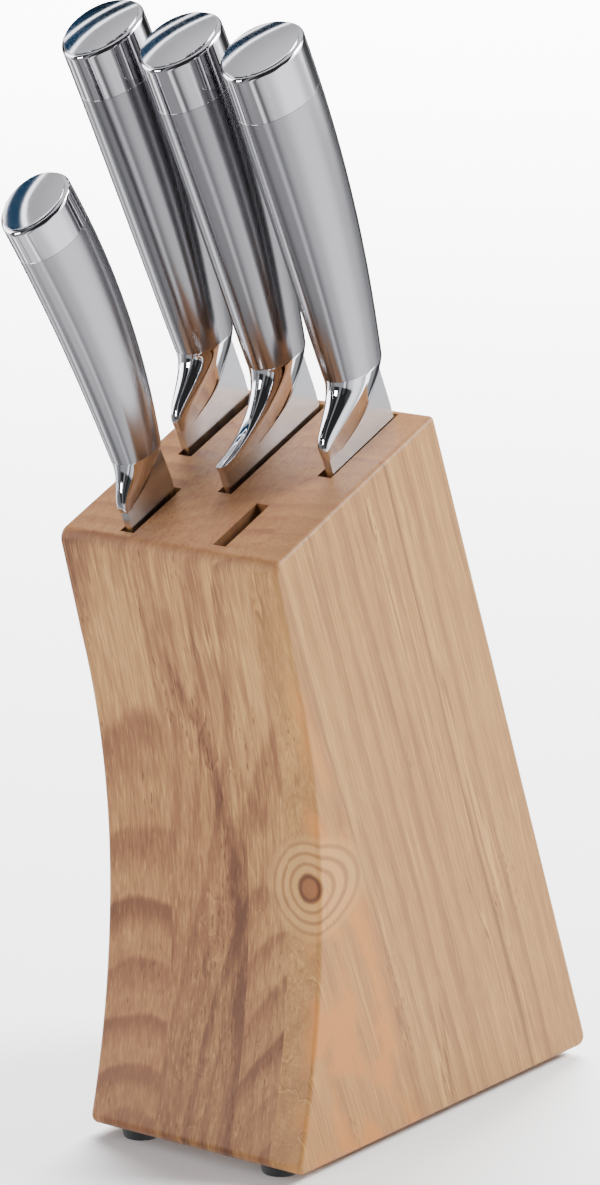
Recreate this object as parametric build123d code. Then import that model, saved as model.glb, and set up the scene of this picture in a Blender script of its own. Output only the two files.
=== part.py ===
from build123d import *
import os
from math import cos, hypot, pi, radians, sin, sqrt

# Knife block with four knives.  Millimetres, +Z up, the front faces -Y.
# The origin is on the surface it stands on, under the middle of the block.

# ---- driving dimensions of the block ----
BLOCK_WIDTH = 80.0
BASE_DEPTH = 154.0          # front to back along the bottom
LEAN = 21.9                 # the knives lean forward by this, degrees from vertical
FOOT_HEIGHT = 3.0           # the feet carry the wood this far off the surface
TOP_FRONT = (-13.3, 187.9)  # top front corner, from the bottom front corner: forward, up
TOP_LENGTH = 85.3           # front to back along the sloping top
WAIST_DEPTH = 9.0           # the front face is hollowed by this
WAIST_HEIGHT = 78.0
LOWER_RADIUS = 290.0        # of the hollow below the waist
UPPER_RADIUS = 245.0        # of the hollow above it
STRAIGHT_FROM = 155.0       # the front runs straight from this height to the top
FRONT_TOP_ROUND = 4.0
CORNER_ROUND = 3.0
EDGE_ROUND = 1.6

# ---- glued staves, left to right: where each one ends across the width ----
STAVES = (
    ("stave_left_outer", -40.0, -23.3),
    ("stave_left_inner", -23.3, -15.0),
    ("stave_centre_left", -15.0, -2.5),
    ("stave_centre_right", -2.5, 13.7),
    ("stave_right_inner", 13.7, 28.5),
    ("stave_right_outer", 28.5, 40.0),
)

# ---- slots: centre across, front and back along the top, depth, width ----
SLOTS = (
    (-25.8, 46.4, 83.0, 201.0, 5.0),    # bread knife
    (-17.5, 5.2, 30.2, 129.0, 5.0),     # utility knife
    (0.0, 31.2, 82.4, 201.0, 5.0),      # chef's knife
    (16.0, 6.0, 28.8, 129.0, 4.6),      # spare slot, empty
    (26.0, 46.4, 83.0, 201.0, 5.0),     # carving knife
)

# ---- feet ----
FOOT_RADIUS = 5.5
FOOT_FLARE = 0.6            # a foot is this much wider in radius where it meets the wood
FOOT_ACROSS = 26.5
FOOT_FRONT = 7.5            # from the bottom front corner
FOOT_BACK = 145.0
SCREW_RADIUS = 1.5
SCREW_LENGTH = 12.0         # into the wood
SCREW_HEAD_RADIUS = 2.6
WASHER_RADIUS = 3.2
WASHER_THICKNESS = 0.6
FOOT_FLOOR = 1.3            # rubber left between the washer and the wood
POCKET_PLAY = 0.3           # round the washer
HEAD_CLEARANCE = 0.4        # the screw's head stays this far off the surface
DRIVE_LENGTH = 3.2          # of each bar of the cross cut in the screw's head
DRIVE_WIDTH = 0.7
DRIVE_DEPTH = 0.6

# ---- blades ----
PLATE = 2.6                 # thickness at the heel
EDGE_PLATE = 0.5            # thickness left along the cutting edge
TIP_PLATE = 1.3
TANG_WIDTH = 11.0
SHELL_WALL = 1.0            # of the hollow handles
SPIGOT = 5.0                # how far the bolster and the cap reach into the handle
SPIGOT_PLAY = 0.1
BOLSTER_PROUD = 0.2         # of the blade's flats, on each side
TOE_PROUD = 1.2             # of the heel
BARE_CORNER = 14.0          # how far forward of the spine the bolster's back edge starts
BARE_SWEEP = 9.0            # and how much further at its very foot
HOLLOW_POWER = 0.64         # exponent of the curve that sweeps the chef's bolster out
SWELL_POWER = 1.35          # how the bolster swells from the blade to the neck
FOOT_OF_BOLSTER = 6.0       # above the block's top: the bare flat of the blade shows below
CAP_BEVEL = 1.2
CAP_CROWN = 1.1             # the cap's dome rises by this
CAP_RADIUS = 115.0          # of that dome
LEAN_SIDE = 0.7             # the outer knives splay sideways by this, degrees
SPLAY_SHIFT = 0.85          # and stand this far off the middle of their slots
SERRATION_PITCH = 6.0
SERRATION_DEPTH = 1.1


class Handle:
    """One size of hollow handle.  In a knife's own frame X is sideways, Y runs from
    the cutting edge to the spine (0 on the spine) and Z runs up the handle (0 at
    the top of the block)."""

    def __init__(self, neck, band, rim, middle, bend, bend_from, deep, deep_taper,
                 wide, wide_taper, full_at):
        self.neck, self.band, self.rim = neck, band, rim
        self.middle, self.bend, self.bend_from = middle, bend, bend_from
        self.deep, self.deep_taper = deep, deep_taper
        self.wide, self.wide_taper = wide, wide_taper
        self.full_at = full_at

    def centre(self, w):
        """Middle of the section: straight, then curving forward as a parabola."""
        return self.middle - self.bend * max(0.0, w - self.bend_from) ** 2

    def slope(self, w):
        return -2.0 * self.bend * max(0.0, w - self.bend_from)

    def shrink(self, w):
        """0 at full size, 1 at the neck, as a parabola."""
        return (max(0.0, self.full_at - w) / (self.full_at - self.neck)) ** 2

    def half_depth(self, w):
        return self.deep - self.deep_taper * self.shrink(w)

    def half_width(self, w):
        return self.wide - self.wide_taper * self.shrink(w)

    def plane(self, w):
        """The plane square to the handle's curved middle line."""
        return Plane(origin=(0, self.centre(w), w), x_dir=(1, 0, 0),
                     z_dir=(0, self.slope(w), 1))

    def nose(self, w):
        """Exponent of the edge-side half of the oval: nearer to pointed at the cap."""
        return 2.05 - 0.25 * max(0.0, (w - self.neck) / (self.rim - self.neck))


LARGE = Handle(neck=26.0, band=117.5, rim=132.0, middle=-11.8, bend=0.00075, bend_from=40.0,
               deep=14.5, deep_taper=4.1, wide=11.5, wide_taper=3.6, full_at=118.0)
SMALL = Handle(neck=20.5, band=98.5, rim=109.0, middle=-10.6, bend=0.00155, bend_from=20.5,
               deep=12.65, deep_taper=3.9, wide=9.7, wide_taper=3.05, full_at=98.0)
BACK_POWER = 2.2            # exponent of the spine-side half of the oval

# name, handle, slot, spine along the top, lift, splay direction, blade width, blade
# length below the block's top, toe height, whether the bolster sweeps as a hollow
KNIVES = (
    ("bread", LARGE, 0, 81.2, 1.5, -1, 33.0, 199.0, 9.5, False),
    ("utility", SMALL, 1, 28.7, 0.0, 0, 22.2, 127.0, 8.0, False),
    ("chef", LARGE, 2, 80.7, 0.0, 0, 48.0, 199.0, 8.7, True),
    ("carving", LARGE, 4, 81.2, -1.0, 1, 33.0, 199.0, 9.5, False),
)

BASE_FRONT = -BASE_DEPTH / 2
UP = (0.0, -sin(radians(LEAN)), cos(radians(LEAN)))
ALONG = (0.0, cos(radians(LEAN)), sin(radians(LEAN)))


def on_top(along, across=0.0, up=0.0):
    """A point given from the top front corner: along the top, across, and square up."""
    return (across,
            BASE_FRONT + TOP_FRONT[0] + along * ALONG[1] + up * UP[1],
            FOOT_HEIGHT + TOP_FRONT[1] + along * ALONG[2] + up * UP[2])


def front_y(z):
    """How far back the hollowed front is at a height above the wood's bottom."""
    radius = UPPER_RADIUS if z > WAIST_HEIGHT else LOWER_RADIUS
    return WAIST_DEPTH - radius + sqrt(radius ** 2 - (z - WAIST_HEIGHT) ** 2)


def side_profile():
    """The block's side as a face in the YZ plane."""
    low, waist, high = (front_y(0), 0), (WAIST_DEPTH, WAIST_HEIGHT), (
        front_y(STRAIGHT_FROM), STRAIGHT_FROM)
    lower_mid = (front_y(WAIST_HEIGHT / 2), WAIST_HEIGHT / 2)
    upper_height = (WAIST_HEIGHT + STRAIGHT_FROM) / 2
    upper_mid = (front_y(upper_height), upper_height)
    top_back = (TOP_FRONT[0] + TOP_LENGTH * ALONG[1], TOP_FRONT[1] + TOP_LENGTH * ALONG[2])
    outline = [
        ThreePointArc(low, lower_mid, waist),
        ThreePointArc(waist, upper_mid, high),
        Line(high, TOP_FRONT),
        Line(TOP_FRONT, top_back),
        Line(top_back, (BASE_DEPTH, 0)),
        Line((BASE_DEPTH, 0), low),
    ]
    face = make_face(outline)
    corners = face.vertices()
    face = fillet(nearest(corners, TOP_FRONT), FRONT_TOP_ROUND)
    face = fillet(nearest(face.vertices(), (BASE_DEPTH, 0)), CORNER_ROUND)
    face = fillet(nearest(face.vertices(), low), CORNER_ROUND)
    return fillet(nearest(face.vertices(), top_back), EDGE_ROUND)


def nearest(corners, point):
    return min(corners, key=lambda v: hypot(v.X - point[0], v.Y - point[1]))


def slot_cutter(slot):
    across, front, back, depth, width = SLOTS[slot]
    mouth = Plane(origin=on_top((front + back) / 2, across), x_dir=(1, 0, 0), z_dir=UP)
    # It stands proud of the top, so that the mouth is cut clean.
    proud = 10.0
    return mouth * Pos(0, 0, (proud - depth) / 2) * Box(width, back - front, depth + proud)


def foot_places():
    for side, across in (("left", -FOOT_ACROSS), ("right", FOOT_ACROSS)):
        for end, back in (("front", FOOT_FRONT), ("back", FOOT_BACK)):
            yield end + "_" + side, across, BASE_FRONT + back


def make_staves():
    section = Plane(origin=(0, BASE_FRONT, FOOT_HEIGHT), x_dir=(0, 1, 0), z_dir=(1, 0, 0))
    profile = section * side_profile()
    cutters = [slot_cutter(i) for i in range(len(SLOTS))]
    pilots = [Pos(x, y, FOOT_HEIGHT + SCREW_LENGTH / 2) * Cylinder(SCREW_RADIUS, SCREW_LENGTH)
              for _, x, y in foot_places()]
    staves = {}
    for name, left, right in STAVES:
        stave = Pos(left, 0, 0) * extrude(profile, right - left, dir=(1, 0, 0))
        half = BLOCK_WIDTH / 2
        for outer in (-half, half):
            if outer in (left, right):
                rim = [e for e in stave.edges() if abs(e.center().X - outer) < 0.01
                       and e.bounding_box().size.X < 0.01]
                stave = fillet(rim, EDGE_ROUND)
        for cutter in cutters + pilots:
            stave = stave - cutter
        staves[name] = stave
    return staves


def make_feet():
    """Rubber feet, each held by a screw through a washer in its pocket."""
    feet, screws, washers = {}, [], []
    head_height = FOOT_HEIGHT - FOOT_FLOOR - WASHER_THICKNESS - HEAD_CLEARANCE
    for name, x, y in foot_places():
        at = Pos(x, y, 0)
        disc = at * Pos(0, 0, FOOT_HEIGHT / 2) * Cone(
            FOOT_RADIUS, FOOT_RADIUS + FOOT_FLARE, FOOT_HEIGHT)
        pocket_depth = FOOT_HEIGHT - FOOT_FLOOR
        pocket = at * Pos(0, 0, pocket_depth / 2) * Cylinder(
            WASHER_RADIUS + POCKET_PLAY, pocket_depth)
        hole = at * Pos(0, 0, FOOT_HEIGHT / 2) * Cylinder(SCREW_RADIUS, FOOT_HEIGHT)
        feet["foot_" + name] = disc - pocket - hole
        seat = pocket_depth - WASHER_THICKNESS
        washer = at * Pos(0, 0, seat + WASHER_THICKNESS / 2) * (
            Cylinder(WASHER_RADIUS, WASHER_THICKNESS) - Cylinder(SCREW_RADIUS, WASHER_THICKNESS))
        washers.append(washer)
        head = at * Pos(0, 0, seat - head_height / 2) * Cylinder(SCREW_HEAD_RADIUS, head_height)
        top = FOOT_HEIGHT + SCREW_LENGTH
        shank = at * Pos(0, 0, (seat + top) / 2) * Cylinder(SCREW_RADIUS, top - seat)
        drive = at * Pos(0, 0, seat - head_height + DRIVE_DEPTH / 2) * (
            Box(DRIVE_LENGTH, DRIVE_WIDTH, DRIVE_DEPTH)
            + Box(DRIVE_WIDTH, DRIVE_LENGTH, DRIVE_DEPTH))
        screws.append(head + shank - drive)
    return {**feet, "foot_screws": Compound(children=screws),
            "foot_washers": Compound(children=washers)}


def oval(half_depth, half_width, nose, back, bias=0.0, points=28):
    """A closed super-ellipse, its spine-side half (+Y) and edge-side half (-Y) with
    their own exponents.  bias slides its widest place towards the spine."""
    ring = []
    for i in range(points):
        angle = 2 * pi * (i + 0.5) / points
        c, s = cos(angle), sin(angle)
        power = nose if c < 0 else back
        r = (abs(c) ** power + abs(s) ** power) ** (-1 / power)
        q = (r * c + 1) / 2
        q = q + bias * q * (1 - q)
        ring.append((half_width * r * s, half_depth * (2 * q - 1)))
    return make_face(Spline(*ring, periodic=True))


def handle_section(handle, w, inset):
    """The handle's oval at a height, or one that much inside it."""
    return handle.plane(w) * oval(handle.half_depth(w) - inset, handle.half_width(w) - inset,
                                  handle.nose(w), BACK_POWER)


def handle_solid(handle, inset, low, high):
    """The handle's skin, or the hollow an inset inside it, from low to high."""
    steps = 8
    levels = [low + (high - low) * i / steps for i in range(steps + 1)]
    return loft([handle_section(handle, w, inset) for w in levels])


def bolster_front(knife, w):
    """Edge-side outline of the bolster.  On the wide blade it sweeps out as a hollow,
    an ellipse-like curve; on the others it is half a cosine wave."""
    _, handle, _, _, _, _, width, _, toe, hollow = knife
    start = handle.centre(handle.neck) - handle.half_depth(handle.neck)
    end = -width - TOE_PROUD
    s = min(1.0, max(0.0, (w - toe) / (handle.neck - toe)))
    if hollow:
        reach = (1 - s ** HOLLOW_POWER) ** (1 / HOLLOW_POWER)
    else:
        reach = (1 + cos(pi * s)) / 2
    return start + (end - start) * reach


def bolster_section(knife, w):
    """The bolster's outline at a height: an oval at the neck, a thin lens at the foot.
    Its back edge starts well forward and curves up to the neck, so the flat of the
    blade shows behind it."""
    handle, width, toe = knife[1], knife[6], knife[8]
    s = (w - FOOT_OF_BOLSTER) / (handle.neck - FOOT_OF_BOLSTER)
    back = handle.centre(handle.neck) + handle.half_depth(handle.neck)
    back -= BARE_CORNER * (1 - s) ** 2 + BARE_SWEEP * (1 - s) ** 12
    below_toe = (toe - w) / (toe - FOOT_OF_BOLSTER)
    front = bolster_front(knife, w) if w >= toe else -width - TOE_PROUD * (1 - below_toe / 2)
    thin = PLATE / 2 + BOLSTER_PROUD
    thick = thin + (handle.half_width(handle.neck) - thin) * s ** SWELL_POWER
    power = 2.1 + 1.4 * (1 - s) ** 2
    face = oval((back - front) / 2, thick, power - 0.05, power + 0.1, bias=0.3 * (1 - s))
    return Pos(0, (back + front) / 2, w) * face


def make_bolster(knife, blade):
    """Solid steel, from the flat of the blade up to the neck, with a spigot that
    carries the hollow handle."""
    handle = knife[1]
    steps = 9
    rise = handle.neck - FOOT_OF_BOLSTER
    levels = [FOOT_OF_BOLSTER + rise * i / steps for i in range(steps + 1)]
    body = loft([bolster_section(knife, w) for w in levels])
    spigot = handle_solid(handle, SHELL_WALL + SPIGOT_PLAY, handle.neck, handle.neck + SPIGOT)
    return body + spigot - blade


def blade_outline(knife):
    """The blade with its heel, tang and cutting edge, flat in the YZ plane."""
    name, handle, _, _, _, _, width, length, toe, _ = knife
    back_inset = 0.4
    heel_low = -10.0
    tip = (-2.5, -length)
    tang_top = handle.neck + 38.0
    tang_front = handle.centre(handle.neck) - TANG_WIDTH / 2
    tang_back = handle.centre(handle.neck) + TANG_WIDTH / 2
    foot, shoulder = FOOT_OF_BOLSTER, 10.0
    wrap = 2.2              # the bolster wraps the tongue by this at its front
    back_shoulder = handle.neck - 5.0
    spine = [
        Line((-back_inset, foot), (-back_inset, -length * 0.8)),
        Spline((-back_inset, -length * 0.8), (-1.0, -length * 0.93), tip,
               tangents=[(0, -1), (-0.35, -1)]),
    ]
    if name == "bread":
        flat_end = -length * 0.86
        edge = serrated_edge(width, heel_low, flat_end)
        edge.append(Spline((-width, flat_end), (-width * 0.72, -length * 0.955), tip,
                           tangents=[(0, -1), (1, -0.55)]))
    elif name == "chef":
        edge = [Spline((-width, heel_low), (-width * 0.97, -length * 0.42),
                       (-width * 0.72, -length * 0.76), tip, tangents=[(0, -1), (0.8, -1)])]
    else:
        edge = [Spline((-width, heel_low), (-width * 0.93, -length * 0.55),
                       (-width * 0.66, -length * 0.84), tip, tangents=[(0, -1), (1, -1)])]
    heel = [
        Polyline((-width, heel_low), (-width, foot), (wrap - width, foot),
                 (wrap - width, foot + 1), (tang_front - 2, shoulder),
                 (tang_front, shoulder + 2), (tang_front, tang_top), (tang_back, tang_top),
                 (tang_back, back_shoulder), (-1.6, back_shoulder), (-back_inset, foot)),
    ]
    flat = make_face(spine + edge + heel)
    return Plane(origin=(0, 0, 0), x_dir=(0, 1, 0), z_dir=(1, 0, 0)) * flat


def serrated_edge(width, start, end):
    """Scallops of one pitch cut into a straight edge, each an arc."""
    count = round((start - end) / SERRATION_PITCH)
    pitch = (start - end) / count
    arcs = []
    for i in range(count):
        high, low = start - i * pitch, start - (i + 1) * pitch
        middle = (-width + SERRATION_DEPTH, (high + low) / 2)
        arcs.append(ThreePointArc((-width, high), middle, (-width, low)))
    return arcs


def grind(knife):
    """A wedge to keep: full thickness at the spine, thin at the cutting edge and
    thinner again towards the tip."""
    width, length = knife[6], knife[7]
    beyond = width + 3
    start = -12.0
    faces = []
    for w, spine, edge in ((start, PLATE, PLATE), (start - 8, PLATE, EDGE_PLATE),
                           (-length - 2, TIP_PLATE, EDGE_PLATE)):
        corners = [(-spine / 2, 1), (spine / 2, 1), (spine / 2, -width * 0.25),
                   (edge / 2, -beyond), (-edge / 2, -beyond), (-spine / 2, -width * 0.25)]
        faces.append(Pos(0, 0, w) * make_face(Polyline(*corners, close=True)))
    wedge = loft(faces, ruled=True)
    top = 80.0
    heel = Pos(0, -beyond / 2, (start + top) / 2) * Box(PLATE, beyond + 40, top - start)
    return wedge + heel


def make_blade(knife):
    plate = extrude(blade_outline(knife), PLATE / 2, both=True)
    return plate & grind(knife)


def make_cap(knife):
    """Polished collar, a bevel round its rim and a shallow dome, with a spigot that
    plugs the hollow handle."""
    handle = knife[1]
    collar = handle_solid(handle, 0.0, handle.band, handle.rim)
    rim, brow = handle_section(handle, handle.rim, 0.0), handle_section(
        handle, handle.rim + CAP_BEVEL, CAP_BEVEL)
    bevel = loft([rim, brow], ruled=True)
    brow_plane = handle.plane(handle.rim + CAP_BEVEL)
    crown = extrude(brow, CAP_CROWN + 1, dir=brow_plane.z_dir)
    ball = brow_plane * Pos(0, 0, CAP_CROWN - CAP_RADIUS) * Sphere(CAP_RADIUS)
    spigot = handle_solid(handle, SHELL_WALL + SPIGOT_PLAY, handle.band - SPIGOT, handle.band)
    return collar + bevel + (crown & ball) + spigot


def make_grips(knife):
    """Two pressed half shells, left and right, welded along the middle."""
    handle = knife[1]
    skin = handle_solid(handle, 0.0, handle.neck, handle.band)
    hollow = handle_solid(handle, SHELL_WALL, handle.neck, handle.band)
    shell = skin - hollow
    left = shell & Pos(-200, 0, 0) * Box(400, 400, 600)
    right = shell & Pos(200, 0, 0) * Box(400, 400, 600)
    return left, right


def knife_plane(knife):
    """A knife's own frame: on the top of the block, at its spine."""
    _, _, slot, spine, lift, splay, _, _, _, _ = knife
    across = SLOTS[slot][0] + splay * SPLAY_SHIFT
    tilt = radians(LEAN_SIDE * splay)
    up = (sin(tilt), UP[1] * cos(tilt), UP[2] * cos(tilt))
    side = (cos(tilt), -UP[1] * sin(tilt), -UP[2] * sin(tilt))
    return Plane(origin=on_top(spine, across, lift), x_dir=side, z_dir=up)


def make_knife(knife):
    name = knife[0]
    place = knife_plane(knife)
    blade = make_blade(knife)
    left, right = make_grips(knife)
    pieces = {
        "blade_" + name: blade,
        "bolster_" + name: make_bolster(knife, blade),
        "grip_left_" + name: left,
        "grip_right_" + name: right,
        "end_cap_" + name: make_cap(knife),
    }
    return {node: place * piece for node, piece in pieces.items()}


def main():
    os.makedirs("parts", exist_ok=True)
    pieces = {**make_staves(), **make_feet()}
    for knife in KNIVES:
        pieces.update(make_knife(knife))
        place = knife_plane(knife)
        print(knife[0], "slide axis", [round(c, 5) for c in place.z_dir])
    for name, piece in pieces.items():
        export_step(piece, "parts/" + name + ".step")
    box = Compound(children=list(pieces.values())).bounding_box()
    print("box", box.min, box.max)


main()
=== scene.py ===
import bpy
import math
import numpy as np
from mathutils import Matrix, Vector


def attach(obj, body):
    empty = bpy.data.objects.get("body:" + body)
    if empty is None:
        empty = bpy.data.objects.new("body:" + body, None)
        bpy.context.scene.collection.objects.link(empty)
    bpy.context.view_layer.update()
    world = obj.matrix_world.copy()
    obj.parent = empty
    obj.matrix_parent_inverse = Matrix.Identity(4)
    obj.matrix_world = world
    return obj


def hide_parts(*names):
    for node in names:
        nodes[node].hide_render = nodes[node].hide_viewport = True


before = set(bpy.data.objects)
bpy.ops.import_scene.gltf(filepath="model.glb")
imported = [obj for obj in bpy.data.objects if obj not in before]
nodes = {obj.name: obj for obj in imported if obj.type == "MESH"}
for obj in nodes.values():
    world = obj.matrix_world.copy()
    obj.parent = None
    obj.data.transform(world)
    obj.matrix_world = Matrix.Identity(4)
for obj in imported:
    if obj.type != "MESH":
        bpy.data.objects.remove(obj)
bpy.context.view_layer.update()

# Knife block with four knives.  Dimensions are in millimetres, as the block is built,
# and become metres where a mesh, a light or the camera is placed.
MM = 0.001

# ---- the block ----
LEAN = math.radians(21.9)
UP = np.array([0.0, -math.sin(LEAN), math.cos(LEAN)])       # the way the knives point
ALONG = np.array([0.0, math.cos(LEAN), math.sin(LEAN)])     # back along the sloping top
TOP_FRONT = np.array([0.0, -90.3, 190.9])                   # top front edge of the block

# ---- the knives, as in the frame: one size of handle for the big ones, one small ----
BIG = dict(neck=26.0, band=117.5, rim=132.0, middle=-11.8, bend=0.00075, bend_from=40.0,
           deep=14.5, deep_taper=4.1, wide=11.5, wide_taper=3.6, full_at=118.0)
SMALL = dict(neck=20.5, band=98.5, rim=109.0, middle=-10.6, bend=0.00155, bend_from=20.5,
             deep=12.65, deep_taper=3.9, wide=9.7, wide_taper=3.05, full_at=98.0)
BACK_POWER = 2.2
# name, handle, slot centre across, spine along the top, lift, splay, blade width, toe, hollow
KNIVES = (
    ("bread", BIG, -25.8, 81.2, 1.5, -1, 33.0, 9.5, False),
    ("utility", SMALL, -17.5, 28.7, 0.0, 0, 22.2, 8.0, False),
    ("chef", BIG, 0.0, 80.7, 0.0, 0, 48.0, 8.7, True),
    ("carving", BIG, 26.0, 81.2, -1.0, 1, 33.0, 9.5, False),
)
SPLAY = math.radians(0.7)
SPLAY_SHIFT = 0.85
FOOT_OF_BOLSTER = 6.0
PLATE = 2.6
BOLSTER_PROUD = 0.2
TOE_PROUD = 1.2
BARE_CORNER = 14.0
BARE_SWEEP = 9.0
CAP_BEVEL = 1.2
CAP_CROWN = 1.1
CAP_RADIUS = 115.0
CAMERA_TURN = math.radians(36.617)      # from straight ahead of the block, to its right
SEAM = 0.06                 # a fine groove where two pieces of a handle meet


# ------------------------------------------------------------------ surfaces

def ring_mesh(name, rows, low_end=True, high_end=True, sharp=35.0):
    """A tube through rows of rings, rows[i, j] being point j of ring i, wound so that its
    faces look outwards.  Each end is closed by a fan to the middle of its ring.  A UV map
    runs round the tube in u and up it in v."""
    count, around = rows.shape[:2]
    lattice = np.arange(count * around).reshape(count, around)
    nxt = np.roll(lattice, -1, axis=1)
    quads = np.stack([lattice[:-1], nxt[:-1], nxt[1:], lattice[1:]], axis=-1).reshape(-1, 4)
    points = rows.reshape(-1, 3)
    u0 = np.broadcast_to(np.arange(around) / around, (count - 1, around))
    u1 = u0 + 1.0 / around
    level = np.broadcast_to((np.arange(count) / (count - 1))[:, None], (count, around))
    uv = np.stack([np.stack([u0, level[:-1]], -1), np.stack([u1, level[:-1]], -1),
                   np.stack([u1, level[1:]], -1), np.stack([u0, level[1:]], -1)],
                  axis=2).reshape(-1, 2)
    fans, fan_uv = [], []
    for closed, ring, flip in ((low_end, 0, True), (high_end, -1, False)):
        if closed:
            hub = len(points)
            points = np.vstack([points, rows[ring].mean(axis=0)])
            first, second = lattice[ring], nxt[ring]
            if flip:
                first, second = second, first
            fans.append(np.stack([first, second, np.full(around, hub)], axis=-1))
            fan_uv.append(np.zeros((around * 3, 2)))
    mesh = bpy.data.meshes.new(name)
    faces = quads.tolist() + [f for fan in fans for f in fan.tolist()]
    mesh.from_pydata((points * MM).tolist(), [], faces)
    layer = mesh.uv_layers.new(name="finish")
    layer.data.foreach_set("uv", np.vstack([uv] + fan_uv).astype(np.float32).ravel())
    mesh.polygons.foreach_set("use_smooth", np.ones(len(faces), bool))
    mesh.set_sharp_from_angle(angle=math.radians(sharp))
    piece = bpy.data.objects.new(name, mesh)
    bpy.context.scene.collection.objects.link(piece)
    return piece


def knife_axes(knife):
    """The origin of a knife's own frame, on the block's top at its spine, and its three
    axes as rows: sideways, towards the spine, and up the handle."""
    _, _, across, spine, lift, splay = knife[:6]
    tilt = SPLAY * splay
    up = np.array([math.sin(tilt), UP[1] * math.cos(tilt), UP[2] * math.cos(tilt)])
    side = np.array([math.cos(tilt), -UP[1] * math.sin(tilt), -UP[2] * math.sin(tilt)])
    origin = TOP_FRONT + ALONG * spine + UP * lift
    origin = origin + np.array([across + splay * SPLAY_SHIFT, 0.0, 0.0])
    return origin, np.stack([side, np.cross(up, side), up])


def in_place(knife, points):
    """Points of a knife's own frame, moved to where the knife stands in the block."""
    origin, axes = knife_axes(knife)
    return origin + points @ axes


def oval(half_depth, half_width, nose, back, bias, around=112):
    """Rings of a super-ellipse: at the angle a, with c = cos a and s = sin a, the radius
    is (|c|^p + |s|^p)^(-1/p), p being the nose exponent on the edge side (c < 0) and the
    back exponent on the spine side.  bias slides its widest place towards the spine.
    The four first arguments are columns, one value a ring; the result is x and y."""
    a = -2 * np.pi * (np.arange(around) + 0.5) / around
    c, s = np.cos(a)[None, :], np.sin(a)[None, :]
    power = np.where(c < 0, nose, back)
    r = (np.abs(c) ** power + np.abs(s) ** power) ** (-1 / power)
    q = (r * c + 1) / 2
    q = q + bias * q * (1 - q)
    return half_width * r * s, half_depth * (2 * q - 1)


def handle_rings(h, w, inset=0.0, rise=0.0):
    """Rings of a handle at the heights w: an oval square to the handle's middle line,
    which is straight up to bend_from and a parabola above it.  Depth and width grow from
    the neck as one less a square.  inset shrinks a ring and rise lifts it along the line."""
    w, inset, rise = (np.asarray(v, float).reshape(-1, 1) + np.zeros((np.size(w), 1))
                      for v in (w, inset, rise))
    run = np.maximum(0.0, w - h["bend_from"])
    centre, slope = h["middle"] - h["bend"] * run ** 2, -2 * h["bend"] * run
    shrink = (np.maximum(0.0, h["full_at"] - w) / (h["full_at"] - h["neck"])) ** 2
    nose = 2.05 - 0.25 * np.maximum(0.0, (w - h["neck"]) / (h["rim"] - h["neck"]))
    x, y = oval(h["deep"] - h["deep_taper"] * shrink - inset,
                h["wide"] - h["wide_taper"] * shrink - inset, nose, BACK_POWER, 0.0)
    norm = np.sqrt(1 + slope ** 2)
    return np.stack([x, centre + (y + rise * slope) / norm, w + (rise - slope * y) / norm], -1)


def handle_shell(knife):
    """The pressed and welded steel handle: its rings from the neck to the band, drawn in
    by a hair at both ends for the joint lines."""
    h = knife[1]
    w = np.concatenate([[h["neck"], h["neck"] + SEAM],
                        np.linspace(h["neck"] + 1, h["band"] - 1, 68),
                        [h["band"] - SEAM, h["band"]]])
    inset = np.zeros(len(w))
    inset[[0, -1]] = SEAM
    return ring_mesh("handle_" + knife[0], in_place(knife, handle_rings(h, w, inset)))


def end_cap(knife):
    """The polished collar, the rounded bevel round its rim and the shallow dome, which is
    part of a sphere."""
    h = knife[1]
    w = np.concatenate([[h["band"], h["band"] + SEAM],
                        np.linspace(h["band"] + 1, h["rim"] - 0.3, 12), [h["rim"]]])
    inset = np.zeros(len(w))
    inset[0] = SEAM
    collar = handle_rings(h, w, inset)
    turn = np.linspace(0.12, 1.0, 6) * np.pi / 2
    top = np.full(len(turn), h["rim"] + CAP_BEVEL)
    bevel = handle_rings(h, top, CAP_BEVEL * (1 - np.cos(turn)),
                         -CAP_BEVEL * (1 - np.sin(turn)))
    brow = handle_rings(h, [h["rim"] + CAP_BEVEL], CAP_BEVEL)[0]
    middle = brow.mean(axis=0)
    slope = -2 * h["bend"] * (h["rim"] + CAP_BEVEL - h["bend_from"])
    lift = np.array([0.0, slope, 1.0]) / math.hypot(1.0, slope)
    out = brow - middle
    reach = np.linalg.norm(out, axis=1)[None, :, None]
    scale = np.array([1.0, 0.985, 0.95, 0.88, 0.78, 0.66, 0.52, 0.38, 0.24, 0.1])[:, None, None]
    height = CAP_CROWN - CAP_RADIUS + np.sqrt(CAP_RADIUS ** 2 - (scale * reach) ** 2)
    dome = middle + scale * out + height * lift
    return ring_mesh("cap_" + knife[0], in_place(knife, np.concatenate([collar, bevel, dome])),
                     sharp=28.0)


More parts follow.
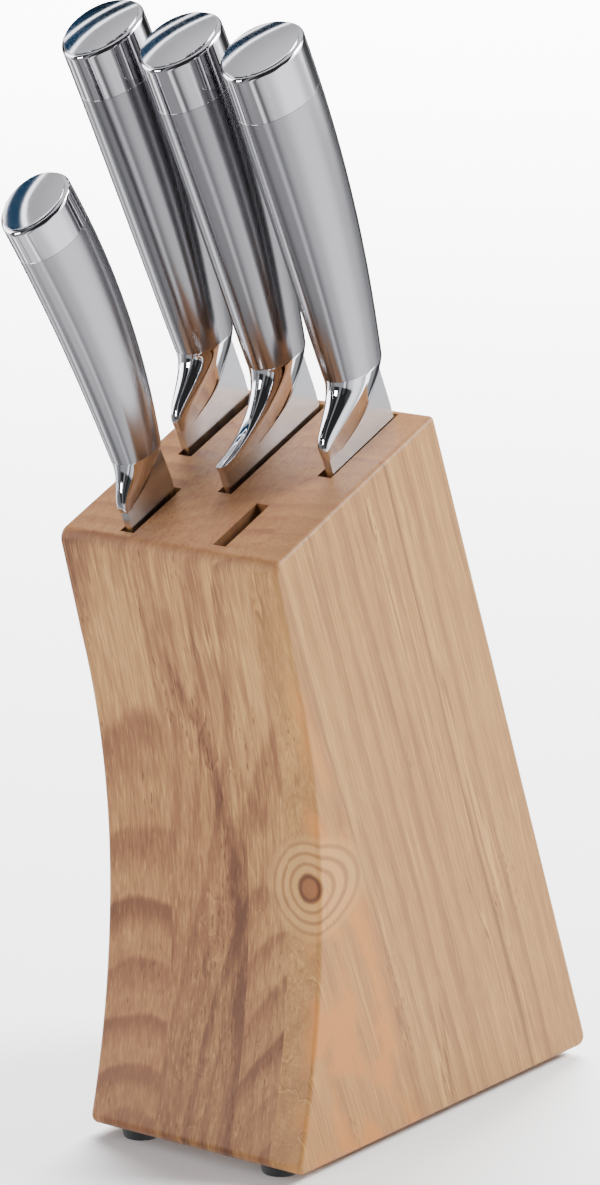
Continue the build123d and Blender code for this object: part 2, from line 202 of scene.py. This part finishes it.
def bolster(knife):
    """Solid steel between blade and handle: ovals that grow from a thin lens round the
    blade to the neck of the handle.  The toe sweeps forward as half a cosine wave, or on
    the wide blade as the curve (1 - s^p)^(1/p), and the back edge starts well forward and
    runs up to the neck."""
    h, width, toe, hollow = knife[1], knife[6], knife[7], knife[8]
    t = np.linspace(0.0, 1.0, 72) ** 1.5
    w = FOOT_OF_BOLSTER + (h["neck"] - FOOT_OF_BOLSTER) * t
    s = t[:, None]
    back = h["middle"] + h["deep"] - h["deep_taper"] - BARE_CORNER * (1 - s) ** 2
    back = back - BARE_SWEEP * (1 - s) ** 12
    start, end = h["middle"] - h["deep"] + h["deep_taper"], -width - TOE_PROUD
    sweep = np.clip((w - toe) / (h["neck"] - toe), 0.0, 1.0)[:, None]
    power = 0.64                    # of the deep hollow above the wide blade's heel
    reach = (1 - sweep ** power) ** (1 / power) if hollow else (1 + np.cos(np.pi * sweep)) / 2
    front = start + (end - start) * reach
    below = np.maximum(0.0, (toe - w) / (toe - FOOT_OF_BOLSTER))[:, None]
    front = front + TOE_PROUD * below / 2
    least = front + 4.0             # a smooth maximum keeps the toe at least this deep
    back = (back + least + np.sqrt((back - least) ** 2 + 2.0)) / 2
    thin = PLATE / 2 + BOLSTER_PROUD
    thick = thin + (h["wide"] - h["wide_taper"] - thin) * s ** 1.35
    shut = np.zeros((len(w), 1))
    shut[-1] = SEAM
    blunt = 2.05 + 5.0 * (1 - s) ** 4    # keeps the toe outside the blade's corners
    x, y = oval((back - front) / 2 - shut, thick - shut, blunt, BACK_POWER, 0.0)
    rings = np.stack([x, (back + front) / 2 + y, np.broadcast_to(w[:, None], x.shape)], -1)
    return ring_mesh("bolster_piece_" + knife[0], in_place(knife, rings))


# ------------------------------------------------------------------ finishes

class Term:
    """A socket in shader maths: + - * / on it add Math nodes to its tree."""

    def __init__(self, tree, socket=None):
        self.tree, self.socket = tree, socket

    def add(self, kind, settings=None, inputs=None, output=0):
        """Adds a node: its settings first, then the values or links of its sockets."""
        node = self.tree.nodes.new(kind)
        for key, value in (settings or {}).items():
            if key == "stops":
                ramp = node.color_ramp
                while len(ramp.elements) < len(value):
                    ramp.elements.new(0.5)
                for element, (place, colour) in zip(ramp.elements, value):
                    element.position, element.color = place, (*colour, 1.0)
            else:
                setattr(node, key, value)
        for key, value in (inputs or {}).items():
            if isinstance(value, Term):
                self.tree.links.new(value.socket, node.inputs[key])
            else:
                node.inputs[key].default_value = value
        return Term(self.tree, node.outputs[output]) if node.outputs else node

    def math(self, operation, first, second=0.0):
        return self.add("ShaderNodeMath", {"operation": operation}, {0: first, 1: second})

    def __add__(self, other):
        return self.math("ADD", self, other)

    def __radd__(self, other):
        return self.math("ADD", other, self)

    def __sub__(self, other):
        return self.math("SUBTRACT", self, other)

    def __rsub__(self, other):
        return self.math("SUBTRACT", other, self)

    def __mul__(self, other):
        return self.math("MULTIPLY", self, other)

    def __rmul__(self, other):
        return self.math("MULTIPLY", other, self)

    def __truediv__(self, other):
        return self.math("DIVIDE", self, other)

    def __rtruediv__(self, other):
        return self.math("DIVIDE", other, self)

    def __pow__(self, other):
        return self.math("POWER", self, other)

    def __abs__(self):
        return self.math("ABSOLUTE", self)

    def hump(self, width):
        """A smooth hump, exp(-(value / width)^2): 1 at nought, and gone two widths away."""
        part = self / width
        return self.math("EXPONENT", part * part * -1.0)

    def band(self, low, high, soft):
        """1 between low and high and 0 outside, with edges as wide as twice soft."""
        return self.rise(low - soft, low + soft) * (1 - self.rise(high - soft, high + soft))

    def facing(self, normal, way):
        """How squarely a surface faces along a direction, either way round: 0 to 1."""
        return abs(self.add("ShaderNodeVectorMath", {"operation": "DOT_PRODUCT"},
                            {0: normal, 1: tuple(float(v) for v in way)}, output=1))

    def rise(self, low, high):
        """A smooth step from 0 at low to 1 at high."""
        return self.add("ShaderNodeMapRange", {"interpolation_type": "SMOOTHSTEP"},
                        {0: self, 1: low, 2: high})

    def mix(self, first, second, blend="MIX"):
        """Colours mixed by this factor."""
        return self.add("ShaderNodeMix", {"data_type": "RGBA", "blend_type": blend},
                        {0: self, 6: first, 7: second}, output=2)


def tone(red, green, blue):
    """A colour as seen on a screen, 0 to 255, made linear for the shader."""
    return tuple(((c / 255 + 0.055) / 1.055) ** 2.4 for c in (red, green, blue)) + (1.0,)


# ---- the colours of the wood, from pale early wood to dark late wood, and its marks ----
WOOD_STOPS = ((0.0, tone(166, 126, 72)[:3]), (0.28, tone(140, 101, 57)[:3]),
              (0.55, tone(112, 74, 44)[:3]), (0.9, tone(74, 43, 26)[:3]))
SIDE_WOOD, HEARTWOOD, RED_WOOD = tone(168, 124, 62), tone(166, 105, 44), tone(134, 86, 52)
# The first colour here is the painted shade on the walls of the knife slots.
SLOT_SHADE, END_GRAIN, PORE = tone(66, 40, 25), tone(136, 92, 64), tone(84, 50, 32)
KNOT_HALO, KNOT_RING = tone(170, 130, 76), tone(106, 64, 34)
KNOT_CORE, KNOT_RIM = tone(112, 66, 36), tone(50, 25, 15)
KNOT = (36.6, -68.3, 89.5)      # where the knot's branch leaves the wood
BRANCH = (0.45, -0.89)          # the way it points, to the right and forward


def vector(like, x, y, z):
    """A place in a pattern, from three terms or numbers."""
    return like.add("ShaderNodeCombineXYZ", None, {0: x, 1: y, 2: z})


def shades(shade, spread):
    """A darker and a lighter neighbour of a colour seen on a screen."""
    return tone(*[c - spread for c in shade]), tone(*[c + spread for c in shade])


def noise(like, place, detail=2.0, rough=0.5):
    """Soft cloudy noise about 0.5, with a grain as long as one unit of place."""
    return like.add("ShaderNodeTexNoise", None,
                    {"Vector": place, "Scale": 1.0, "Detail": detail, "Roughness": rough})


def new_material(name):
    """An empty Principled material: its first term, its shader and its object places."""
    material = bpy.data.materials.new(name)
    material.use_nodes = True
    tree = material.node_tree
    shader = next(n for n in tree.nodes if n.type == "BSDF_PRINCIPLED")
    return material, Term(tree), shader


def wire(shader, name, term):
    """Feeds a term to one of the shader's sockets."""
    term.tree.links.new(term.socket, shader.inputs[name])


def grain_places(start):
    """Places in the wood: across the boards, deep (back along the top) and along the grain."""
    spots = start.add("ShaderNodeTexCoord", None, None, output=3)
    place = start.add("ShaderNodeVectorMath", {"operation": "SCALE"}, {0: spots, "Scale": 1000.0})
    x = start.add("ShaderNodeSeparateXYZ", None, {0: place})
    y, z = (Term(x.tree, x.socket.node.outputs[i]) for i in (1, 2))
    return (x, y, z, y * float(ALONG[1]) + z * float(ALONG[2]),
            y * float(UP[1]) + z * float(UP[2]))


def knot_distance(start, x, y, z, cloud):
    """The distance from the line of the branch that makes the knot: it leaves the wood
    forward and to the right, and the knot is a little taller than it is wide."""
    from_x, from_y, from_z = x - KNOT[0], y - KNOT[1], z - KNOT[2]
    share = from_x * BRANCH[0] + from_y * BRANCH[1]
    off = from_x * from_x + from_y * from_y + from_z * from_z * 0.7 - share * share
    return (start.math("MAXIMUM", off, 0.0) + 0.01) ** 0.5 + (cloud - 0.5) * 2.0


def knot_colours(start, body, away, slow):
    """The knot's pale halo, its close rings, and its brown core with a dark rim."""
    close = start.math("SINE", away * 2.3 + (slow - 0.5) * 6.0) * 0.5 + 0.5
    halo = (1 - away.rise(10.0, 16.0)) * away.rise(2.5, 5.0)
    body = (halo * 0.6).mix(body, KNOT_HALO)
    body = (halo * close.rise(0.4, 1.0) * 0.6).mix(body, KNOT_RING)
    core = 1 - away.rise(3.0, 4.4)
    body = (core * 0.85).mix(body, KNOT_CORE)
    return (core * away.rise(2.0, 3.2) * 0.7).mix(body, KNOT_RIM)


def wood(name, pith, spacing, shift, dark, ring_depth, pore_share, streaks=0.9,
         runs=9.0, foot_shade=0.2, veins=0.0, heart=None, stain=False):
    """Solid wood, glued up in boards.  Growth rings are cylinders about a pith (across,
    deep) that runs the way the knives point.  Fibres, streaks and open pores are drawn
    out along the grain, wood cut across the grain is redder, and a knot breaks out at
    the front right edge.  shift sets a board's own pattern.  streaks and veins say how
    strongly soft streaks and long thin veins show, runs how deep a streak goes, and fade
    how much painted shade darkens the foot against the top.  heart is where the redder
    heartwood begins,
    going forward, and stain adds a dark line of open pores that leans in towards the
    middle as it climbs."""
    material, start, shader = new_material(name)
    x, y, z, deep, length = grain_places(start)
    slow = noise(start, vector(start, x / 40 + shift, deep / 40, length / 150), 2.0)
    cloud = noise(start, vector(start, x / 17, deep / 20 + shift, length / 48), 3.0)
    away = knot_distance(start, x, y, z, cloud)
    swirl = away.hump(12.0)         # the grain parts round the knot

    # Growth rings: the late wood darkens slowly and stops short at the next ring.
    across = x - pith[0]
    inward = deep - pith[1]
    radius = (across * across + inward * inward) ** 0.5 + swirl * 9.0
    radius = radius + (slow - 0.5) * 6.0 + (cloud - 0.5) * 0.8
    phase = radius / spacing
    ring = start.math("FRACT", phase)
    late = ring.rise(0.25, 0.86) * (1 - ring.rise(0.86, 1.0))
    strength = noise(start, vector(start, phase * 0.7 + shift, 3.0, 5.0), 1.0)
    late = late * (0.35 + strength.rise(0.36, 0.66) * 0.75) * ring_depth

    # Streaks, fibres and short dashes, and the cells that become open pores.
    bent = x + swirl * 5.0
    streak = noise(start, vector(start, bent / 2.6, deep / runs + shift, length / 210), 4.0, 0.6)
    fibre = noise(start, vector(start, x / 0.8, deep / (runs * 0.28) + shift, length / 34),
                  2.0, 0.6)
    dash = noise(start, vector(start, x / 0.55, deep / (runs * 0.2) + shift, length / 9), 1.0)
    dash = (dash.rise(0.5, 0.75) - 0.3) * 0.24
    cells = start.add("ShaderNodeTexVoronoi", {"feature": "F1"}, {
        "Vector": vector(start, x / 1.15, deep / (runs * 0.3) + shift, length / 5.5),
        "Scale": 1.0})
    crowd = noise(start, vector(start, x / 8 + shift, deep / 12, length / 75), 2.0)
    pores = (1 - cells.rise(0.14, 0.32)) * crowd.rise(0.64 - pore_share, 0.72 - pore_share)

    depth = dark + late + (streak - 0.5) * streaks + (fibre - 0.5) * 0.8
    # The term in z is painted shade: the wood grows darker towards the foot.
    depth = depth + (cloud - 0.5) * 0.25 - dash + (0.55 - z / 180) * foot_shade
    if veins:
        vein = noise(start, vector(start, bent / 13 + shift, deep / 9.5, length / 330), 3.0, 0.45)
        vein = (vein - 0.5) * 100
        gap = noise(start, vector(start, x / 20, deep / 14 + shift, length / 38 + 4), 1.0)
        dark_vein = (1 - abs(vein).rise(0.15, 0.9)) * gap.rise(0.45, 0.62)
        light_vein = (1 - abs(vein - 2.0).rise(0.3, 1.5)) * gap.rise(0.4, 0.6)
        depth = depth + dark_vein * (0.34 * veins) - light_vein * (0.26 * veins)
    if heart is not None:
        for place, strong in ((heart + 3.0, 0.35), (12.0, 0.5), (44.0, 1.0)):
            stray = deep - place + (slow - 0.5) * 7.0
            line = stray.hump(0.7) * 0.45 - (stray - 2.0).hump(1.1) * 0.3
            depth = depth + line * strong
    if stain:
        climb = start.math("MAXIMUM", (z - 20) / 66, 0.0) ** 2.6
        stray = x - 13 + climb * 3.3 + (cloud - 0.5) * 5
        line = stray.hump(2.6) * (1 - z.rise(140.0, 165.0))
        depth = depth + line * (0.42 - z.rise(60.0, 150.0) * 0.2)
        pores = start.math("MINIMUM", pores + line * (1 - cells.rise(0.2, 0.42)), 1.0)

    body = depth.add("ShaderNodeValToRGB", {"stops": WOOD_STOPS}, {0: depth})
    if heart is not None:
        front = 1 - (deep + (slow - 0.5) * 16).rise(heart - 5, heart + 3)
        front = front * x.rise(33.0, 39.5)
        body = (0.1 + slow * 0.3).mix(body, SIDE_WOOD)
        patch = noise(start, vector(start, x / 9, deep / 13, z / 17 + shift), 2.0)
        glow = 0.14 + patch.rise(0.42, 0.54) * 0.46 + patch.rise(0.54, 0.56) * 0.28
        body = (front * glow).mix(body, HEARTWOOD)
    else:
        body = (slow.rise(0.35, 0.7) * 0.35).mix(body, RED_WOOD)

    # The slots' walls get a painted shade, a dark brown, and wood cut across the grain is redder.
    normal = start.add("ShaderNodeTexCoord", None, None, output=1)
    slot_shade = start.facing(normal, (1, 0, 0)).rise(0.8, 0.95) * (1 - abs(x).rise(37.0, 38.5))
    body = (slot_shade * 0.7).mix(body, SLOT_SHADE)
    end_grain = start.facing(normal, UP).rise(0.3, 0.9)
    body = (end_grain * 0.55).mix(body, END_GRAIN)
    body = knot_colours(start, body, away, slow)
    body = (pores * (0.8 - end_grain * 0.55)).mix(body, PORE)
    wire(shader, "Base Color", body)
    wire(shader, "Roughness", 0.5 + pores * 0.2 + (fibre - 0.5) * 0.16)
    wire(shader, "Normal", start.add("ShaderNodeBump", None, {
        "Strength": 0.3, "Distance": 0.0002, "Height": fibre * 0.5 - pores}))
    shader.inputs["Specular IOR Level"].default_value = 0.28
    return material


def satin_steel(name, shade, rough, lines):
    """Steel brushed along the handle: fine lines run up the piece's own map."""
    material, start, shader = new_material(name)
    spots = start.add("ShaderNodeUVMap", {"uv_map": "finish"})
    axes = start.add("ShaderNodeSeparateXYZ", None, {0: spots})
    u, v = axes, Term(axes.tree, axes.socket.node.outputs[1])
    brush = noise(start, vector(start, u * lines, v * 3.0, 0.0), 3.0, 0.7)
    patch = noise(start, vector(start, u * 9.0, v * 4.0, 4.0), 2.0)
    wire(shader, "Base Color", (brush * 0.4 + patch * 0.6).mix(*shades(shade, 5)))
    wire(shader, "Roughness", rough + (brush - 0.5) * 0.06 + (patch - 0.5) * 0.05)
    wire(shader, "Normal", start.add("ShaderNodeBump", None, {
        "Strength": 0.03, "Distance": 0.00002, "Height": brush}))
    shader.inputs["Metallic"].default_value = 1.0
    return material


def polished_steel(name, shade, rough, haze):
    """Mirror-polished steel with a faint haze and hair scratches."""
    material, start, shader = new_material(name)
    spots = start.add("ShaderNodeTexCoord", None, None, output=3)
    place = start.add("ShaderNodeVectorMath", {"operation": "SCALE"}, {0: spots, "Scale": 1000.0})
    film = noise(start, start.add("ShaderNodeVectorMath", {"operation": "SCALE"},
                                  {0: place, "Scale": 0.12}), 3.0)
    scratch = noise(start, start.add("ShaderNodeVectorMath", {"operation": "MULTIPLY"},
                                     {0: place, 1: (4.0, 0.5, 0.5)}), 2.0)
    wire(shader, "Base Color", film.mix(*shades(shade, 5)))
    wire(shader, "Roughness", rough + film * haze + (scratch - 0.5) * haze)
    shader.inputs["Metallic"].default_value = 1.0
    return material


def blade_steel():
    """Ground blade steel: fine lines from spine to edge."""
    material, start, shader = new_material("blade_finish")
    spots = start.add("ShaderNodeTexCoord", None, None, output=3)
    place = start.add("ShaderNodeVectorMath", {"operation": "SCALE"}, {0: spots, "Scale": 1000.0})
    axes = start.add("ShaderNodeSeparateXYZ", None, {0: place})
    y, z = (Term(axes.tree, axes.socket.node.outputs[i]) for i in (1, 2))
    length = y * float(UP[1]) + z * float(UP[2])
    deep = y * float(ALONG[1]) + z * float(ALONG[2])
    lines = noise(start, vector(start, length * 2.2, deep / 30, 1.0), 3.0, 0.7)
    wire(shader, "Base Color", lines.mix(tone(178, 178, 180), tone(202, 202, 204)))
    wire(shader, "Roughness", 0.2 + (lines - 0.5) * 0.14)
    shader.inputs["Metallic"].default_value = 1.0
    return material


def rubber():
    """Black moulded rubber with a fine tooth."""
    material, start, shader = new_material("rubber_finish")
    spots = start.add("ShaderNodeTexCoord", None, None, output=3)
    grit = noise(start, start.add("ShaderNodeVectorMath", {"operation": "SCALE"},
                                  {0: spots, "Scale": 2600.0}), 3.0)
    wire(shader, "Base Color", grit.mix(tone(12, 12, 13), tone(26, 26, 27)))
    wire(shader, "Roughness", 0.62 + grit * 0.25)
    wire(shader, "Normal", start.add("ShaderNodeBump", None, {
        "Strength": 0.3, "Distance": 0.0001, "Height": grit}))
    return material


def plated_steel():
    """Zinc-plated screws and washers: cloudy, slightly warm grey."""
    material, start, shader = new_material("plated_finish")
    spots = start.add("ShaderNodeTexCoord", None, None, output=3)
    cloud = noise(start, start.add("ShaderNodeVectorMath", {"operation": "SCALE"},
                                   {0: spots, "Scale": 900.0}), 3.0)
    wire(shader, "Base Color", cloud.mix(tone(158, 156, 148), tone(196, 194, 186)))
    wire(shader, "Roughness", 0.28 + cloud * 0.2)
    shader.inputs["Metallic"].default_value = 1.0
    return material


def dress(piece, material):
    """Gives a piece its one material."""
    piece.data.materials.clear()
    piece.data.materials.append(material)


# ------------------------------------------------------------------ the object

board_left = wood("board_left", (-22.0, -98.0), 8.0, 3.0, 0.30, 0.58, 0.07, streaks=0.4)
board_middle = wood("board_middle", (48.0, -70.0), 6.5, 11.0, 0.36, 0.24, 0.16, streaks=0.95,
                    veins=0.5, stain=True)
board_right = wood("board_right", (52.0, -104.0), 7.5, 23.0, 0.28, 0.42, 0.09, streaks=0.75,
                   veins=0.4)
board_side = wood("board_side", (58.0, -96.0), 8.0, 31.0, 0.31, 0.24, 0.03, streaks=0.78,
                  runs=2.2, foot_shade=0.03, veins=1.1, heart=-13.0)
for stave, material in (("left_outer", board_left), ("left_inner", board_left),
                        ("centre_left", board_middle), ("centre_right", board_middle),
                        ("right_inner", board_right), ("right_outer", board_side)):
    dress(nodes["stave_" + stave], material)

black = rubber()
plated = plated_steel()
for node in nodes:
    if node.startswith("foot_"):
        dress(nodes[node], plated if node in ("foot_screws", "foot_washers") else black)

satin = satin_steel("handle_satin", (165, 164, 167), 0.2, 420.0)
mirror = polished_steel("mirror_polish", (208, 208, 212), 0.02, 0.05)
cap_polish = polished_steel("cap_polish", (198, 197, 200), 0.03, 0.05)
ground = blade_steel()
for knife in KNIVES:
    name = knife[0]
    for piece, material, stands_for in (
            (handle_shell(knife), satin, ("grip_left_" + name, "grip_right_" + name)),
            (bolster(knife), mirror, ("bolster_" + name,)),
            (end_cap(knife), cap_polish, ("end_cap_" + name,))):
        dress(piece, material)
        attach(piece, name + "_knife")
        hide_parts(*stands_for)
    dress(nodes["blade_" + name], ground)


# ------------------------------------------------------------------ floor, light, camera

def stage_floor():
    """A wide pale floor, level with the feet."""
    mesh = bpy.data.meshes.new("floor")
    reach = 6.0
    mesh.from_pydata([(-reach, -reach, 0), (reach, -reach, 0), (reach, reach, 0),
                      (-reach, reach, 0)], [], [(0, 1, 2, 3)])
    floor = bpy.data.objects.new("floor", mesh)
    bpy.context.scene.collection.objects.link(floor)
    material, start, shader = new_material("floor_finish")
    spots = start.add("ShaderNodeTexCoord", None, None, output=3)
    mottle = noise(start, spots, 2.0)
    wire(shader, "Base Color", mottle.mix(tone(240, 240, 240), tone(246, 246, 246)))
    shader.inputs["Roughness"].default_value = 0.9
    dress(floor, material)
    floor.visible_glossy = False


def studio_room():
    """What the steel mirrors: a grey room with white panels and black flags, as bands of
    direction.  The turn is the angle about the vertical from where the camera stands."""
    world = bpy.data.worlds.new("studio_room")
    bpy.context.scene.world = world
    world.use_nodes = True
    tree = world.node_tree
    shader = next(n for n in tree.nodes if n.type == "BACKGROUND")
    start = Term(tree)
    way = start.add("ShaderNodeTexCoord", None, None, output=0)
    x = start.add("ShaderNodeSeparateXYZ", None, {0: way})
    y, z = (Term(tree, x.socket.node.outputs[i]) for i in (1, 2))
    ahead = (math.sin(CAMERA_TURN), -math.cos(CAMERA_TURN))
    turn = start.math("ARCTAN2", x * -ahead[1] + y * ahead[0], x * ahead[0] + y * ahead[1])
    turn = turn * (180 / math.pi)

    def bands(rows):
        """Bands of turn added up: each row is low, high, soft and strength."""
        return sum(turn.band(low, high, soft) * strong for low, high, soft, strong in rows)

    # Below the horizon: what the handles, which lean forward, mirror.
    below = (0.5 + (1 - z.rise(-0.905, -0.855)) * 1.0
             + bands(((26, 122, 12, 0.85), (56, 100, 12, 1.1), (-4, 8, 3, 1.3)))
             + turn.band(119, 134, 3) * (1 - z.rise(-0.36, -0.3)) * 5.0
             + bands(((-122, -106, 3, 2.4), (-149, -137, 3, 1.6))))
    below = below * (1 - bands(((148, 185, 3, 0.85), (-185, -155, 3, 0.85))))
    below = below * (1 - bands(((12, 20, 3, 0.5), (-84, -66, 5, 0.5))))
    # Level with the knives: white panels and black flags.
    panels = bands(((78, 122, 4, 7.0), (-125, -84, 4, 7.0)))
    flags = bands(((130, 152, 4, 1), (-150, -132, 4, 1), (54, 72, 4, 1), (-78, -66, 4, 1)))
    middle = (0.5 + panels) * (1 - start.math("MINIMUM", flags, 1.0) * 0.94)
    black = turn.band(-66, 56, 8) * z.rise(-0.52, -0.4)
    split = turn.band(-30, -16, 3) * 0.75
    # Overhead: pale, with the two dark blue window bars that the caps mirror.  over_x and
    # over_y are measured from the middle of that window.
    over_x = x * 0.803 + y * 0.596 + 0.35
    over_y = x * -0.139 + y * 0.187 + z * 0.972 - 0.88
    bars = over_y.band(-0.150, -0.096, 0.003) + over_y.band(-0.080, -0.050, 0.003)
    gaps = over_y.band(-0.093, -0.083, 0.002) + over_y.band(-0.047, -0.038, 0.002)
    over = 0.85 + over_y.rise(-0.03, 0.06) * 0.5 + gaps * 4.0
    over = over * (1 - bars * (0.55 + over_x.rise(-0.06, 0.08) * 0.3))
    up_share, down_share = over_y.rise(-0.24, -0.18), 1 - z.rise(-0.12, 0.02)
    level = over * up_share + (middle * (1 - down_share) + below * down_share) * (1 - up_share)
    level = level * (1 - black * (1 - up_share) * (0.93 - split))
    barred = start.math("MINIMUM", bars, 1.0) * up_share
    blue = barred.mix(tone(250, 251, 255), tone(70, 130, 180))
    tree.links.new(blue.socket, shader.inputs["Color"])
    # Only mirrored rays see the studio; everything else gets an even half light.
    mirrored = start.add("ShaderNodeLightPath", None, None, output=3)
    level = level * mirrored + (1 - mirrored) * 0.5
    tree.links.new(level.socket, shader.inputs["Strength"])


def soft_light(name, place, aim, size, watts):
    """A square area lamp that stands at a place and points at its aim."""
    lamp = bpy.data.lights.new(name, "AREA")
    lamp.shape, lamp.size, lamp.energy = "SQUARE", size, watts
    holder = bpy.data.objects.new(name, lamp)
    holder.location = place
    holder.rotation_euler = (Vector(place) - Vector(aim)).to_track_quat("Z", "Y").to_euler()
    bpy.context.scene.collection.objects.link(holder)
    return holder


def set_camera():
    """The camera stands at its turn and height, looking at a point inside the block."""
    turn, height, distance = CAMERA_TURN, math.radians(13.47), 1.4686
    aim = Vector((-0.00525, -0.017, 0.1632))
    back = Vector((math.sin(turn) * math.cos(height), -math.cos(turn) * math.cos(height),
                   math.sin(height)))
    lens = bpy.data.cameras.new("camera")
    lens.sensor_width, lens.lens = 36.0, 147.0
    camera = bpy.data.objects.new("camera", lens)
    camera.location = aim + back * distance
    camera.rotation_euler = back.to_track_quat("Z", "Y").to_euler()
    bpy.context.scene.collection.objects.link(camera)
    bpy.context.scene.camera = camera


stage_floor()
studio_room()
soft_light("key", (1.7, 1.6, 2.0), (0, 0, 0.15), 1.1, 215.0)
soft_light("fill", (-0.3, -1.6, 0.32), (0, 0, 0.15), 0.5, 20.0)
soft_light("backdrop", (-1.8, 2.6, 2.2), (-1.8, 2.6, 0), 3.0, 1000.0).visible_glossy = False
set_camera()
